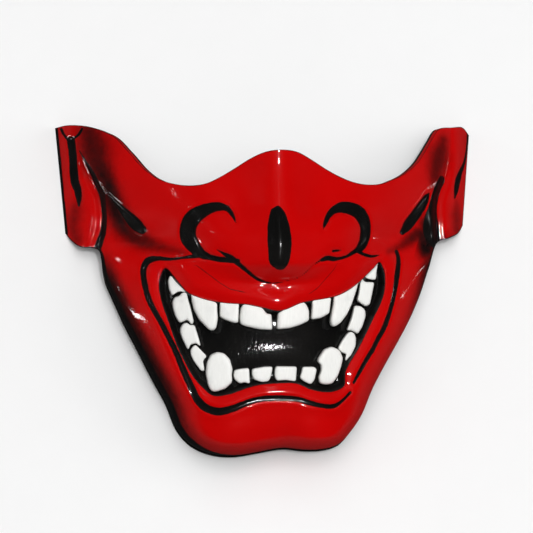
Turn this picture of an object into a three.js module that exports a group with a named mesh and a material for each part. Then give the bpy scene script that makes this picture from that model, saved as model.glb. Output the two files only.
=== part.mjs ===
import * as THREE from 'three';
import { mergeVertices } from 'three/addons/utils/BufferGeometryUtils.js';

// Oni half mask: one moulded shell with twenty set teeth.
// Millimetres. The mask lies face up on the rim of its ears and chin.
// The face is drawn in its own frame: x across, h up the face, d out of it.
// h is nought at the foot of the nose, x is nought on the nose line.

// Driving dimensions
const half_width = 95; // nose line to the outer edge of an ear
const height = 148; // chin to the top of the ears
const face_depth = 74; // lips over the top corner of the ears
const rest_lean = 18; // degrees from the face's own plane to the surface it lies on
const wall = 3;
const ear_rise = 15; // fold at the ear over the surface it lies on
const ear_crown = 1.2; // how far the ear flap bulges
const ear_fold_sink = 2.5;
const ear_fold_width = 5;
const face_curve = 1.7; // power of the curve from the nose line out to the ears
const jaw_round = 14; // how far in from the jaw line the face begins to turn back
const ear_edge_width = 4; // flat edge of the ear that the mask lies on
const rest_clear = 0.4; // least height of the inside over the surface the mask lies on
const rim_arch = 8; // jaw rim over the surface it lies on, between ear and chin
const nose_rise = 16;
const nose_width = 38;
const nostril_rise = 9;
const nostril_width = 30;
const cheek_rise = 5;
const cheek_width = 26;
const cheek_fold_sink = 3;
const cheek_fold_width = 14;
const lip_rise = 2;
const lip_width = 9;
const mouth_sink = 6;
const mouth_wall = 3.5; // width of the slope from the lip down to the mouth's floor
const mouth_crown = 1; // how far the mouth's floor bulges
const groove_sink = 1.6;
const groove_width = 4;
const chin_rise = 4;
const chin_width = 30;
const chin_cleft_sink = 2.5;
const chin_cleft_width = 14;
const tooth_gap = 0.5; // tooth to the shell behind it
const lip_gap = 0.9; // tooth to the lip's edge
const tooth_seat = 1; // how far round a point the shell is looked at to seat a tooth on it
const tooth_proud = 2.2; // middle of a front tooth over the lips' level
const tooth_edge = 1.4; // least thickness at a tooth's outline

// Mesh fineness
const columns_across = 56;
const rows_down = 25;
const rows_round_rim = 9;
const tooth_sides = 16;
const evening_passes = 4;
const settle_share = 0.28; // how near the mouth's edge a point moves onto it, as a share of its slope

const degree = Math.PI / 180;
const top_up = 0.422; // share of the height above the foot of the nose
const percent = 0.01;

// Edges of the shell from the left ear to the right one, as the picture shows them.
// Columns: across and up of the upper edge, across and up of the lower edge, wrap, rise, turn.
// Across is in hundredths of half_width, up in hundredths of height. Wrap is how far the
// face turns back to the rim there, rise how much of rim_arch the rim stands up, and turn
// the share of jaw_round that the face turns back in.
const edge_rows = [
  [-99.8, 42.2, -95.5, 10, 0, 0, 1],
  [-94.7, 42.8, -92.6, 7.6, 0, 0, 1],
  [-88.4, 42.6, -88.4, 5.8, 0, 0.3, 1],
  [-83.2, 41.9, -83.7, 5.1, 0.15, 0.6, 1],
  [-78.4, 40.7, -80.8, 2.7, 0.5, 1, 1],
  [-72.6, 38.5, -79, -3.4, 0.9, 1, 1],
  [-66.3, 33.8, -75.3, -9.8, 1, 1, 1],
  [-60, 29, -70, -16.9, 1, 1, 1],
  [-53.2, 25.8, -63.7, -24.9, 1, 0.9, 1],
  [-45.8, 24.3, -57.2, -33.2, 1, 0.75, 1],
  [-39, 23.9, -51, -40.5, 1, 0.5, 1],
  [-32.6, 24.5, -45.3, -48.2, 1, 0.2, 0.9],
  [-26.8, 26.2, -38.7, -53.4, 1, 0, 0.7],
  [-20, 28.8, -29.5, -56.4, 1, 0, 0.55],
  [-13.2, 31.6, -19, -57.4, 1, 0, 0.5],
  [-6.3, 33.6, -8.4, -56.4, 1, 0, 0.5],
  [1, 34.2, 3.2, -55.1, 1, 0, 0.5],
  [8.4, 33.6, 13.7, -55.5, 1, 0, 0.5],
  [15.3, 31.4, 23.2, -55.4, 1, 0, 0.5],
  [22.1, 28.8, 31.6, -53.6, 1, 0, 0.55],
  [28.4, 26.7, 37.9, -49.3, 1, 0.2, 0.6],
  [35.3, 25, 43.2, -43.9, 1, 0.45, 0.65],
  [42.1, 24.3, 47.7, -36.6, 1, 0.75, 0.7],
  [48.9, 24.6, 53.7, -29.7, 1, 0.9, 0.7],
  [55.8, 26.1, 60, -22.1, 1, 1, 0.7],
  [62.6, 29.7, 65.8, -15.2, 1, 1, 0.75],
  [68.9, 35.5, 70.5, -8, 0.9, 1, 0.85],
  [74.7, 40.1, 74.5, -0.7, 0.5, 1, 1],
  [81, 41.8, 78.7, 6.8, 0.15, 0.6, 1],
  [88.4, 42.5, 85.3, 8.6, 0, 0.3, 1],
  [94.7, 42.7, 90.5, 10.1, 0, 0, 1],
  [98.9, 40.5, 93.7, 12.5, 0, 0, 1],
];

// Middle of the face seen from the side, without the nose. Columns: up, depth share.
const profile_rows = [
  [43, 0.9],
  [34, 0.92],
  [20, 0.9],
  [5, 0.92],
  [-5, 0.97],
  [-14, 1],
  [-30, 1],
  [-42, 0.99],
  [-50, 0.96],
  [-58, 0.9],
];

// Nose ridge. Columns: up, share of nose_rise, share of nose_width.
const ridge_rows = [
  [36, 0.3, 0.7],
  [28, 0.38, 0.65],
  [18, 0.7, 0.75],
  [10, 0.95, 1],
  [6, 1, 1],
  [2, 0.85, 1],
  [-2, 0.4, 1],
  [-6, 0, 1],
];

// Fold between cheek and ear flap. Columns: up, across on the left, across on the right, depth.
const fold_rows = [
  [43, 91, 88, 0],
  [34, 89, 87, 0.4],
  [26, 84, 84, 1],
  [20, 79.5, 80, 1],
  [12, 79, 79.5, 1],
  [6, 81.5, 80.5, 0.8],
  [0, 83, 82, 0],
];

// Mouth opening, a closed loop. Columns: across, up.
const mouth_rows = [
  [-51, -0.3],
  [-54, -4.3],
  [-53.5, -9],
  [-50.3, -15.8],
  [-46, -23.7],
  [-39.2, -32.3],
  [-34.7, -35.6],
  [-30.4, -37.8],
  [-24, -37.5],
  [-11.5, -34.9],
  [-4, -34.3],
  [7.6, -34.3],
  [14, -36],
  [20.7, -36.8],
  [26, -36.5],
  [30, -34.9],
  [30.8, -30.7],
  [37, -24.1],
  [44.5, -15.1],
  [48, -11],
  [50.3, -6.8],
  [50.4, -1.4],
  [48, 1.4],
  [44.5, -0.5],
  [37, -4.7],
  [32.2, -6.8],
  [26, -8.6],
  [14, -10],
  [9.5, -10.6],
  [0, -12.8],
  [-8.3, -11.8],
  [-14.6, -11],
  [-24, -10.6],
  [-30.4, -10],
  [-36, -9],
  [-41, -7.6],
  [-46, -3.9],
];

// Grooves outside the lips. Columns: across, up.
const lip_groove_rows = [
  [-36.6, 3.2],
  [-49, 2.2],
  [-58.4, 2.4],
  [-61, -2.6],
  [-58.4, -10],
  [-52.8, -17],
  [-46.6, -25.3],
  [-40.4, -34.8],
  [-33.6, -41.3],
  [-27.9, -42.4],
  [-22.2, -41.5],
  [-9.6, -38.6],
  [-1, -38.4],
  [8.2, -38.8],
  [19.4, -40.7],
  [24.7, -40.7],
  [28.8, -39.2],
  [32.5, -37],
];
const side_groove_rows = [
  [34.2, -34],
  [40.3, -27.5],
  [46.6, -20.9],
  [51.5, -14.7],
  [55.4, -6.4],
  [57.9, 2.4],
  [57.2, 4.5],
];

// Grooves round the nostrils. Columns: across, up.
const left_nostril_rows = [
  [-20, 12.8],
  [-21.6, 15.3],
  [-27.2, 17.6],
  [-35.6, 15.9],
  [-40.8, 11.7],
  [-41, 9],
  [-37.4, 4.9],
  [-31.4, 2.7],
  [-19.5, 1],
  [-11, -3.4],
  [0, -4.5],
];
const right_nostril_rows = [
  [19.7, 10.8],
  [22.9, 15.1],
  [29.6, 17.4],
  [37.4, 15.9],
  [40.9, 11.7],
  [39.8, 7.2],
  [34.2, 4.1],
  [25.4, 2.2],
  [14.1, 0],
  [6, -3.9],
  [0, -4.5],
];

// Grooves on the ear flaps. Columns: across, up.
const left_ear_rows = [
  [-93.4, 38.4],
  [-92.4, 33.6],
  [-91.5, 29.1],
  [-90, 24.6],
  [-89.6, 20],
];
const right_ear_rows = [
  [95.5, 39.5],
  [94.5, 35.5],
  [92.6, 30.9],
  [90, 24.9],
  [89.5, 19.4],
];

// Rounded swellings and hollows. Columns: across, up, width across, width up, rise.
const swellings = [
  { across: -30, up: 9, wide: nostril_width, tall: nostril_width, rise: nostril_rise },
  { across: 30, up: 9, wide: nostril_width, tall: nostril_width, rise: nostril_rise },
  { across: -52, up: 20, wide: 2 * cheek_width, tall: cheek_width, rise: cheek_rise },
  { across: 52, up: 20, wide: 2 * cheek_width, tall: cheek_width, rise: cheek_rise },
  { across: -61, up: 7, wide: 3 * cheek_fold_width, tall: cheek_fold_width, rise: -cheek_fold_sink },
  { across: 61, up: 7, wide: 3 * cheek_fold_width, tall: cheek_fold_width, rise: -cheek_fold_sink },
  { across: -22, up: -49, wide: chin_width, tall: chin_width, rise: chin_rise },
  { across: 17, up: -48, wide: chin_width, tall: chin_width, rise: chin_rise },
  { across: 2, up: -54, wide: chin_cleft_width, tall: 2 * chin_cleft_width, rise: -chin_cleft_sink },
];

// Teeth. Columns: name, across, up, wide, long, lean, square, blunt, taper, proud.
// Across and wide are in hundredths of half_width, up and long in hundredths of height.
// Lean is the tip's direction in degrees from straight down. Square is how boxy the root is,
// blunt how boxy the tip is, taper how much narrower the tip is, proud the share of tooth_proud.
const tooth_rows = [
  ['fang_upper_left', -33.2, -13.4, 11.6, 11, 17, 3, 2.2, 0.5, 1.5],
  ['incisor_upper_1', -22.6, -13.3, 7.8, 6.4, 0, 4, 3.5, 0.06, 0.8],
  ['incisor_upper_2', -10.6, -14.8, 14.4, 7, 3, 4, 3.5, 0.06, 1],
  ['incisor_upper_3', 6.2, -14.6, 14, 7, -3, 4, 3.5, 0.06, 1],
  ['incisor_upper_4', 18.8, -12.5, 9, 6.2, -4, 4, 3.5, 0.06, 0.8],
  ['fang_upper_right', 28.8, -12, 11, 11.4, -20, 3, 2.2, 0.5, 1.5],
  ['molar_left_1', -47, -5.6, 5.4, 4.6, -165, 3, 2.2, 0.5, 0],
  ['molar_left_2', -43, -12.5, 7, 8.2, 16, 4, 3, 0, 0.2],
  ['molar_left_3', -39.4, -20.4, 6.8, 6.6, 20, 3.5, 3, 0.1, 0.2],
  ['molar_left_4', -35.6, -27.4, 5.6, 6.4, 22, 3, 2.2, 0.3, 0],
  ['molar_right_1', 45, -2.4, 5, 4.2, 155, 3, 2.2, 0.4, 0],
  ['molar_right_2', 41.4, -8, 6.4, 6.4, -13, 4, 3, 0, 0.2],
  ['molar_right_3', 37.6, -16, 6, 7.8, -16, 4, 3, 0.1, 0.2],
  ['molar_right_4', 33, -23.6, 5.6, 6.6, -16, 3, 2.2, 0.2, 0],
  ['fang_lower_left', -26.4, -30.9, 11.8, 11.4, 180, 3, 2.2, 0.2, 1.5],
  ['fang_lower_right', 23.6, -29.6, 9.6, 11, 170, 3, 2.2, 0.2, 1.5],
  ['incisor_lower_1', -16.4, -31.9, 7.2, 4.8, 0, 4, 3.5, 0.05, 0.5],
  ['incisor_lower_2', -7.6, -31.6, 9.2, 4.4, 0, 4, 3.5, 0.05, 0.6],
  ['incisor_lower_3', 2.6, -31.5, 9.6, 4.4, 0, 4, 3.5, 0.05, 0.6],
  ['incisor_lower_4', 11.8, -32.2, 7, 4.8, 0, 4, 3.5, 0.05, 0.5],
];
const teeth = tooth_rows.map(([name, across, up, wide, long, lean, square, blunt, taper, proud]) => {
  return { name, across, up, wide, long, lean, square, blunt, taper, proud };
});

// Materials
const red_gloss = { color: 0xc40303, roughness: 0.18, metalness: 0 };
const tooth_white = { color: 0xf0efea, roughness: 0.45, metalness: 0 };

// Smooth value between the rows of a table, by row number
function between_rows(rows, at) {
  const last = rows.length - 1;
  const low = Math.min(Math.max(Math.floor(at), 0), last - 1);
  const f = at - low;
  const [a, b, c, e] = [-1, 0, 1, 2].map((step) => rows[Math.min(Math.max(low + step, 0), last)]);
  return b.map((value, k) => {
    const out = (c[k] - a[k]) / 2;
    const into = (e[k] - b[k]) / 2;
    const rest = c[k] - value;
    return value + f * (out + f * (3 * rest - 2 * out - into + f * (out + into - 2 * rest)));
  });
}

// Smooth value of a table whose first column is up, in hundredths of the height
function at_height(rows, h) {
  const up = h / (height * percent);
  if (up >= rows[0][0]) return rows[0];
  if (up <= rows.at(-1)[0]) return rows.at(-1);
  const low = rows.findIndex((row, k) => up <= row[0] && up > rows[k + 1][0]);
  return between_rows(rows, low + (rows[low][0] - up) / (rows[low][0] - rows[low + 1][0]));
}

const place = ([across, up]) => new THREE.Vector2(across * percent * half_width, up * percent * height);

// A smooth line through a table's points, as a row of short steps
function smooth_line(rows, closed) {
  const points = rows.map(place).map((p) => new THREE.Vector3(p.x, p.y, 0));
  const curve = new THREE.CatmullRomCurve3(points, closed, 'centripetal');
  return curve.getPoints(rows.length * 3).map((p) => new THREE.Vector2(p.x, p.y));
}

// Distance from a point to a line, and the nearest step of the line
function nearest(line, x, h) {
  let best = Infinity;
  let at = 0;
  for (let k = 0; k + 1 < line.length; k++) {
    const a = line[k];
    const b = line[k + 1];
    const dx = b.x - a.x;
    const dh = b.y - a.y;
    const along = ((x - a.x) * dx + (h - a.y) * dh) / (dx * dx + dh * dh || 1);
    const f = Math.min(Math.max(along, 0), 1);
    const away = Math.hypot(x - a.x - f * dx, h - a.y - f * dh);
    if (away < best) {
      best = away;
      at = k + f;
    }
  }
  return { away: best, at };
}

function inside(line, x, h) {
  let within = false;
  for (let k = 0; k + 1 < line.length; k++) {
    const a = line[k];
    const b = line[k + 1];
    if (a.y > h !== b.y > h && x < a.x + ((h - a.y) / (b.y - a.y)) * (b.x - a.x)) within = !within;
  }
  return within;
}

const mouth = smooth_line(mouth_rows, true);
const groove_tables = [
  lip_groove_rows,
  side_groove_rows,
  left_nostril_rows,
  right_nostril_rows,
  left_ear_rows,
  right_ear_rows,
];
const grooves = groove_tables.map((rows) => smooth_line(rows, false));

// Lower edge of the shell, in steps fine enough to measure from
const edge_steps = 8;
const edge_slack = 0.1; // how far the edge's curve may lie from those steps
const lower_edge = [];
for (let k = 0; k <= (edge_rows.length - 1) * edge_steps; k++) {
  const row = between_rows(edge_rows, k / edge_steps);
  lower_edge.push(place([row[2], row[3]]));
}

// Wrap, rise and turn of the rim, by row number along the edges
function rim_at(at) {
  const row = between_rows(edge_rows, at).slice(4);
  const [wrap, rise, turn] = row.map((value) => Math.min(Math.max(value, 0), 1));
  return { wrap, rise, turn };
}

// Outer edges of the ears, straight from top to bottom
const ear_edge = (row) => [place(row), place([row[2], row[3]])];
const left_ear_edge = ear_edge(edge_rows[0]);
const right_ear_edge = ear_edge(edge_rows.at(-1));

// The surface the mask lies on, as a depth in the face's frame
const rest_depth = (h) => (top_up * height - h) * Math.tan(rest_lean * degree);

const bell = (distance, width) => Math.exp(-4 * (distance / width) ** 2);
const ease = (f) => {
  const t = Math.min(Math.max(f, 0), 1);
  return t * t * (3 - 2 * t);
};

// Large form of the face and the ears, without relief
function main_form(x, h) {
  const side = Math.sign(x) || 1;
  const reach = Math.abs(x);
  const fold = at_height(fold_rows, h);
  const fold_x = (side < 0 ? fold[1] : fold[2]) * percent * half_width;
  const [, middle_share] = at_height(profile_rows, h);
  const middle = middle_share * face_depth;
  const ground = rest_depth(h);
  const ear = ground + ear_rise;
  const [outer_top, outer_low] = side < 0 ? left_ear_edge : right_ear_edge;
  const down = Math.min(Math.max((outer_top.y - h) / (outer_top.y - outer_low.y), 0), 1);
  const outer_x = Math.abs(outer_top.x + down * (outer_low.x - outer_top.x));
  let depth = middle - (middle - ear) * (reach / fold_x) ** face_curve;
  if (reach > fold_x) {
    const out = Math.min((reach - fold_x) / (outer_x - fold_x), 1);
    depth = ear + (ground - ear) * out ** 1.2 + ear_crown * Math.sin(Math.PI * out);
  }
  const edge = nearest(lower_edge, x, h);
  const { wrap, rise, turn } = rim_at(edge.at / edge_steps);
  const turned = Math.min(Math.max(edge.away - edge_slack, 0) / (turn * jaw_round), 1);
  const round = (1 - (1 - turned) ** 2.2) ** (1 / 2.2);
  const rim = ground + rise * rim_arch;
  return depth - wrap * (depth - rim) * (1 - round);
}

// Relief that the inside of the shell follows too
function broad_relief(x, h) {
  const [, nose_share, nose_spread] = at_height(ridge_rows, h);
  let relief = nose_share * nose_rise * bell(x, nose_spread * nose_width);
  for (const { across, up, wide, tall, rise } of swellings) {
    const centre = place([across, up]);
    relief += rise * bell(Math.hypot((x - centre.x) / wide, (h - centre.y) / tall), 1);
  }
  return relief;
}

// How far the mouth's floor lies back, smooth over the given slope
function mouth_hollow(x, h, slope) {
  if (!inside(mouth, x, h)) return 0;
  const { away } = nearest(mouth, x, h);
  const bulge = mouth_crown * ease((away - mouth_wall) / (2 * mouth_sink));
  return mouth_sink * Math.min(away / slope, 1) - bulge;
}

// Fine relief of the outside: lips, grooves and folds
function fine_relief(x, h) {
  let relief = 0;
  const mouth_away = nearest(mouth, x, h).away;
  if (inside(mouth, x, h)) relief -= mouth_hollow(x, h, mouth_wall);
  else relief += lip_rise * bell(mouth_away - lip_width / 2, lip_width);
  for (const groove of grooves) relief -= groove_sink * bell(nearest(groove, x, h).away, groove_width);
  const fold = at_height(fold_rows, h);
  const fold_x = (x < 0 ? fold[1] : fold[2]) * percent * half_width;
  relief -= ear_fold_sink * fold[3] * bell(Math.abs(x) - fold_x, ear_fold_width);
  return relief;
}

const front_depth = (x, h) => main_form(x, h) + rim_fade(x, h) * (broad_relief(x, h) + fine_relief(x, h));
function back_depth(x, h) {
  const relief = 0.9 * rim_fade(x, h) * broad_relief(x, h);
  return main_form(x, h) + relief - hollow_behind(x, h);
}

// Relief dies out where the face turns back to its rim, and at the ears' outer edges
function rim_fade(x, h) {
  const edge = nearest(lower_edge, x, h);
  const { wrap } = rim_at(edge.at / edge_steps);
  const from_ear = nearest(x < 0 ? left_ear_edge : right_ear_edge, x, h).away;
  return (1 - wrap * (1 - ease((2 * edge.away) / jaw_round))) * ease(from_ear / ear_fold_width);
}

// The back stays behind the mouth's floor, with a wide slope
function hollow_behind(x, h) {
  const { away } = nearest(mouth, x, h);
  const signed = inside(mouth, x, h) ? away : -away;
  return mouth_sink * ease((signed + 2 * mouth_wall) / (3 * mouth_wall));
}

// Grid of points over the face, columns from ear to ear and rows from brow to rim
function face_grid() {
  const grid = [];
  const last = edge_rows.length - 1;
  for (let i = 0; i <= columns_across; i++) {
    const row = between_rows(edge_rows, (i / columns_across) * last);
    const brow = place(row);
    const rim = place([row[2], row[3]]);
    const length = brow.distanceTo(rim);
    const turn = Math.min(jaw_round, 0.35 * length) / length;
    const column = [];
    for (let j = 0; j <= rows_down + rows_round_rim; j++) {
      const left = rows_down + rows_round_rim - j;
      const angle = (left / rows_round_rim) * 90 * degree;
      const up = left <= rows_round_rim ? turn * (1 - Math.cos(angle)) : 1 - (1 - turn) * (j / rows_down);
      column.push(rim.clone().lerp(brow, up));
    }
    grid.push(column);
  }
  return grid;
}

// Points close to the mouth's edge move onto it, and the rest even out round them,
// so that the lip line is clean
function settle_on_mouth(grid) {
  const reach = settle_share * mouth_wall;
  const held = new Set();
  for (const p of grid.flat()) {
    const { away, at } = nearest(mouth, p.x, p.y);
    if (away > reach) continue;
    const k = Math.min(Math.floor(at), mouth.length - 2);
    p.copy(mouth[k].clone().lerp(mouth[k + 1], at - k));
    held.add(p);
  }
  for (let pass = 0; pass < evening_passes; pass++) {
    for (let i = 1; i + 1 < grid.length; i++) {
      for (let j = 1; j < rows_down; j++) {
        const p = grid[i][j];
        if (held.has(p) || nearest(mouth, p.x, p.y).away > 3 * mouth_wall) continue;
        const around = [grid[i - 1][j], grid[i + 1][j], grid[i][j - 1], grid[i][j + 1]];
        const mean = around.reduce((sum, q) => sum.add(q), new THREE.Vector2()).divideScalar(4);
        p.lerp(mean, 0.5);
      }
    }
  }
}

// Smooth normals of a grid of points in space
function grid_normals(points) {
  const clamp = (k, count) => Math.min(Math.max(k, 0), count - 1);
  const at = (i, j) => points[clamp(i, points.length)][clamp(j, points[0].length)];
  return points.map((column, i) =>
    column.map((_, j) => {
      const across = at(i + 1, j).clone().sub(at(i - 1, j));
      const down = at(i, j + 1).clone().sub(at(i, j - 1));
      return down.cross(across).normalize();
    }),
  );
}

// Inner side of the shell: a softened face, set back by the wall
function inner_points(grid) {
  const soft = grid.map((column) => column.map((p) => new THREE.Vector3(p.x, p.y, back_depth(p.x, p.y))));
  const normals = grid_normals(soft);
  const inner = soft.map((column, i) => column.map((p, j) => set_back(p, normals[i][j])));
  const last_row = grid[0].length - 1;
  const last_column = grid.length - 1;
  for (let i = 1; i < last_column; i++) {
    const { wrap } = rim_at((i / columns_across) * (edge_rows.length - 1));
    const inward = edge_inward(grid, i).multiplyScalar(wall);
    inner[i][last_row].lerp(on_same_level(soft[i][last_row], inward), ease((wrap - 0.6) / 0.4));
  }
  for (const [i, next] of [[0, 1], [last_column, last_column - 1]]) {
    for (let j = 0; j <= last_row; j++) {
      const room = inner[next][j].x - soft[i][j].x;
      const inward = Math.sign(room) * Math.min(ear_edge_width, 0.85 * Math.abs(room));
      inner[i][j] = on_same_level(soft[i][j], new THREE.Vector2(inward, 0));
    }
  }
  return inner;
}

// A point of the softened face, moved back by the wall. Near a cut edge it moves straight back.
function set_back(p, normal) {
  const edge = nearest(lower_edge, p.x, p.y);
  const along_normal = Math.max(rim_at(edge.at / edge_steps).wrap ** 2, ease(edge.away / (3 * wall)));
  const direction = new THREE.Vector3(0, 0, 1).lerp(normal, along_normal).normalize();
  const behind = p.clone().addScaledVector(direction, -wall);
  behind.z = Math.max(behind.z, rest_depth(behind.y) + rest_clear);
  return behind;
}

// A point of the rim moved inward, at the same distance from the surface the mask lies on
function on_same_level(p, inward) {
  const y = p.y + inward.y;
  return new THREE.Vector3(p.x + inward.x, y, p.z - rest_depth(p.y) + rest_depth(y));
}

// Direction from the lower edge into the face, in the face's plane
function edge_inward(grid, i) {
  const last_row = grid[0].length - 1;
  const before = grid[Math.max(i - 1, 0)][last_row];
  const after = grid[Math.min(i + 1, grid.length - 1)][last_row];
  const along = after.clone().sub(before).normalize();
  return new THREE.Vector2(-along.y, along.x);
}

function closed_geometry(points, triangles) {
  const geometry = new THREE.BufferGeometry();
  const numbers = points.flatMap((p) => [p.x, p.y, p.z]);
  geometry.setAttribute('position', new THREE.Float32BufferAttribute(numbers, 3));
  geometry.setIndex(triangles.flat());
  return mergeVertices(geometry, 1e-4);
}

function quad(a, b, c, e) {
  return [
    [a, b, c],
    [a, c, e],
  ];
}

// A quad of points in space, cut along its shorter diagonal
function split(points, a, b, c, e) {
  const straight = points[a].distanceTo(points[c]) <= points[b].distanceTo(points[e]);
  return straight ? quad(a, b, c, e) : quad(b, c, e, a);
}

// The shell: outer grid, inner grid and the four edges between them
function shell_geometry(grid) {
  const outer = grid.map((column) => column.map((p) => new THREE.Vector3(p.x, p.y, front_depth(p.x, p.y))));
  const inner = inner_points(grid);
  const rows = grid[0].length;
  const count = grid.length * rows;
  const points = [...outer.flat(), ...inner.flat()];
  const front = (i, j) => i * rows + j;
  const behind = (i, j) => count + i * rows + j;
  const triangles = [];
  for (let i = 0; i + 1 < grid.length; i++) {
    for (let j = 0; j + 1 < rows; j++) {
      const corners = (at) => [at(i, j), at(i, j + 1), at(i + 1, j + 1), at(i + 1, j)];
      triangles.push(...split(points, ...corners(front)));
      triangles.push(...split(points, ...corners(behind).reverse()));
    }
    triangles.push(...quad(front(i, 0), front(i + 1, 0), behind(i + 1, 0), behind(i, 0)));
    const low = rows - 1;
    triangles.push(...quad(front(i, low), behind(i, low), behind(i + 1, low), front(i + 1, low)));
  }
  const right = grid.length - 1;
  for (let j = 0; j + 1 < rows; j++) {
    triangles.push(...quad(front(0, j), behind(0, j), behind(0, j + 1), front(0, j + 1)));
    triangles.push(...quad(front(right, j), front(right, j + 1), behind(right, j + 1), behind(right, j)));
  }
  return { geometry: closed_geometry(points, triangles), outer };
}

// Depth of the shell's own facets at a point, so that a tooth lies just clear of them
function facet_depth(outer, x, h) {
  for (let i = 0; i + 1 < outer.length; i++) {
    for (let j = 0; j + 1 < outer[0].length; j++) {
      const corners = [outer[i][j], outer[i][j + 1], outer[i + 1][j + 1], outer[i + 1][j]];
      for (const [p, q, r] of split(corners, 0, 1, 2, 3).map((facet) => facet.map((k) => corners[k]))) {
        const area = (q.x - p.x) * (r.y - p.y) - (r.x - p.x) * (q.y - p.y);
        const v = ((x - p.x) * (r.y - p.y) - (r.x - p.x) * (h - p.y)) / area;
        const w = ((q.x - p.x) * (h - p.y) - (x - p.x) * (q.y - p.y)) / area;
        if (v >= 0 && w >= 0 && v + w <= 1) return p.z + v * (q.z - p.z) + w * (r.z - p.z);
      }
    }
  }
  return front_depth(x, h);
}

// The highest that the shell comes under a small disc
function seat_depth(outer, p) {
  let highest = facet_depth(outer, p.x, p.y);
  for (let angle = 0; angle < 360; angle += 45) {
    const x = p.x + tooth_seat * Math.cos(angle * degree);
    const h = p.y + tooth_seat * Math.sin(angle * degree);
    highest = Math.max(highest, facet_depth(outer, x, h));
  }
  return highest;
}

// A tooth's outline stays inside the mouth, clear of the lip's edge
function trimmed_by_lip(p) {
  const { away, at } = nearest(mouth, p.x, p.y);
  const within = inside(mouth, p.x, p.y);
  if (within && away > lip_gap) return p;
  const k = Math.min(Math.floor(at), mouth.length - 2);
  const lip = mouth[k].clone().lerp(mouth[k + 1], at - k);
  const inward = within ? p.clone().sub(lip) : lip.clone().sub(p);
  return lip.add(inward.normalize().multiplyScalar(lip_gap));
}

// Outline of a tooth at a share of its full size, in the face's plane
function tooth_outline(tooth, share) {
  const centre = place([tooth.across, tooth.up]);
  const half_wide = (tooth.wide * percent * half_width * share) / 2;
  const half_long = (tooth.long * percent * height * share) / 2;
  const lean = tooth.lean * degree;
  const outline = [];
  for (let k = 0; k < tooth_sides; k++) {
    const angle = (k / tooth_sides) * 2 * Math.PI;
    const power = 2 / (Math.cos(angle) > 0 ? tooth.blunt : tooth.square);
    const down = Math.sign(Math.cos(angle)) * Math.abs(Math.cos(angle)) ** power;
    const out = Math.sign(Math.sin(angle)) * Math.abs(Math.sin(angle)) ** power;
    const v = down * half_long;
    const u = out * half_wide * (1 - tooth.taper * (0.5 + down / 2));
    const x = centre.x + u * Math.cos(lean) + v * Math.sin(lean);
    const h = centre.y + u * Math.sin(lean) - v * Math.cos(lean);
    outline.push(trimmed_by_lip(new THREE.Vector2(x, h)));
  }
  return outline;
}

// A tooth: its back follows the shell, its front is domed
function tooth_geometry(tooth, outer) {
  const centre = place([tooth.across, tooth.up]);
  const back_of = (p) => seat_depth(outer, p) + tooth_gap;
  const level = main_form(centre.x, centre.y) + broad_relief(centre.x, centre.y);
  const crest = level - 1 + tooth.proud * tooth_proud;
  const slope_at = (p) => main_form(p.x, p.y) - main_form(centre.x, centre.y);
  const rings = [
    { share: 1, front: null },
    { share: 1, front: 0.35 },
    { share: 0.72, front: 0.85 },
  ];
  const points = [];
  for (const { share, front } of rings) {
    for (const p of tooth_outline(tooth, share)) {
      const back = back_of(p);
      const domed = back + (crest + slope_at(p) - back) * front;
      points.push(new THREE.Vector3(p.x, p.y, front === null ? back : Math.max(domed, back + tooth_edge)));
    }
  }
  const n = tooth_sides;
  points.push(new THREE.Vector3(centre.x, centre.y, crest));
  points.push(new THREE.Vector3(centre.x, centre.y, back_of(centre)));
  const triangles = [];
  for (let k = 0; k < n; k++) {
    const next = (k + 1) % n;
    for (let ring = 0; ring + 1 < rings.length; ring++) {
      triangles.push(...quad(ring * n + k, ring * n + next, (ring + 1) * n + next, (ring + 1) * n + k));
    }
    triangles.push([(rings.length - 1) * n + k, (rings.length - 1) * n + next, points.length - 2]);
    triangles.push([next, k, points.length - 1]);
  }
  return closed_geometry(points, triangles);
}

function named_mesh(name, geometry, look) {
  geometry.computeVertexNormals();
  const mesh = new THREE.Mesh(geometry, new THREE.MeshStandardMaterial(look));
  mesh.name = name;
  return mesh;
}

const face = new THREE.Group();
const grid = face_grid();
settle_on_mouth(grid);
const shell = shell_geometry(grid);
face.add(named_mesh('shell', shell.geometry, red_gloss));
for (const tooth of teeth) face.add(named_mesh(tooth.name, tooth_geometry(tooth, shell.outer), tooth_white));

// The face lies back onto its rim, and the origin is under the middle of its box
face.rotation.x = rest_lean * degree;
face.updateMatrixWorld(true);
const box = new THREE.Box3().setFromObject(face, true);
face.position.set(-(box.min.x + box.max.x) / 2, -(box.min.y + box.max.y) / 2, -box.min.z);

const mask = new THREE.Group();
mask.add(face);
mask.updateMatrixWorld(true);

export default mask;
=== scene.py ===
"""Oni half mask, lying face up. Row frame, metres; the face's own frame is in millimetres:
x across, h up the face, d out of it. h is nought at the foot of the nose."""

import math

import bpy
import numpy as np
from mathutils import Matrix, Vector


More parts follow.
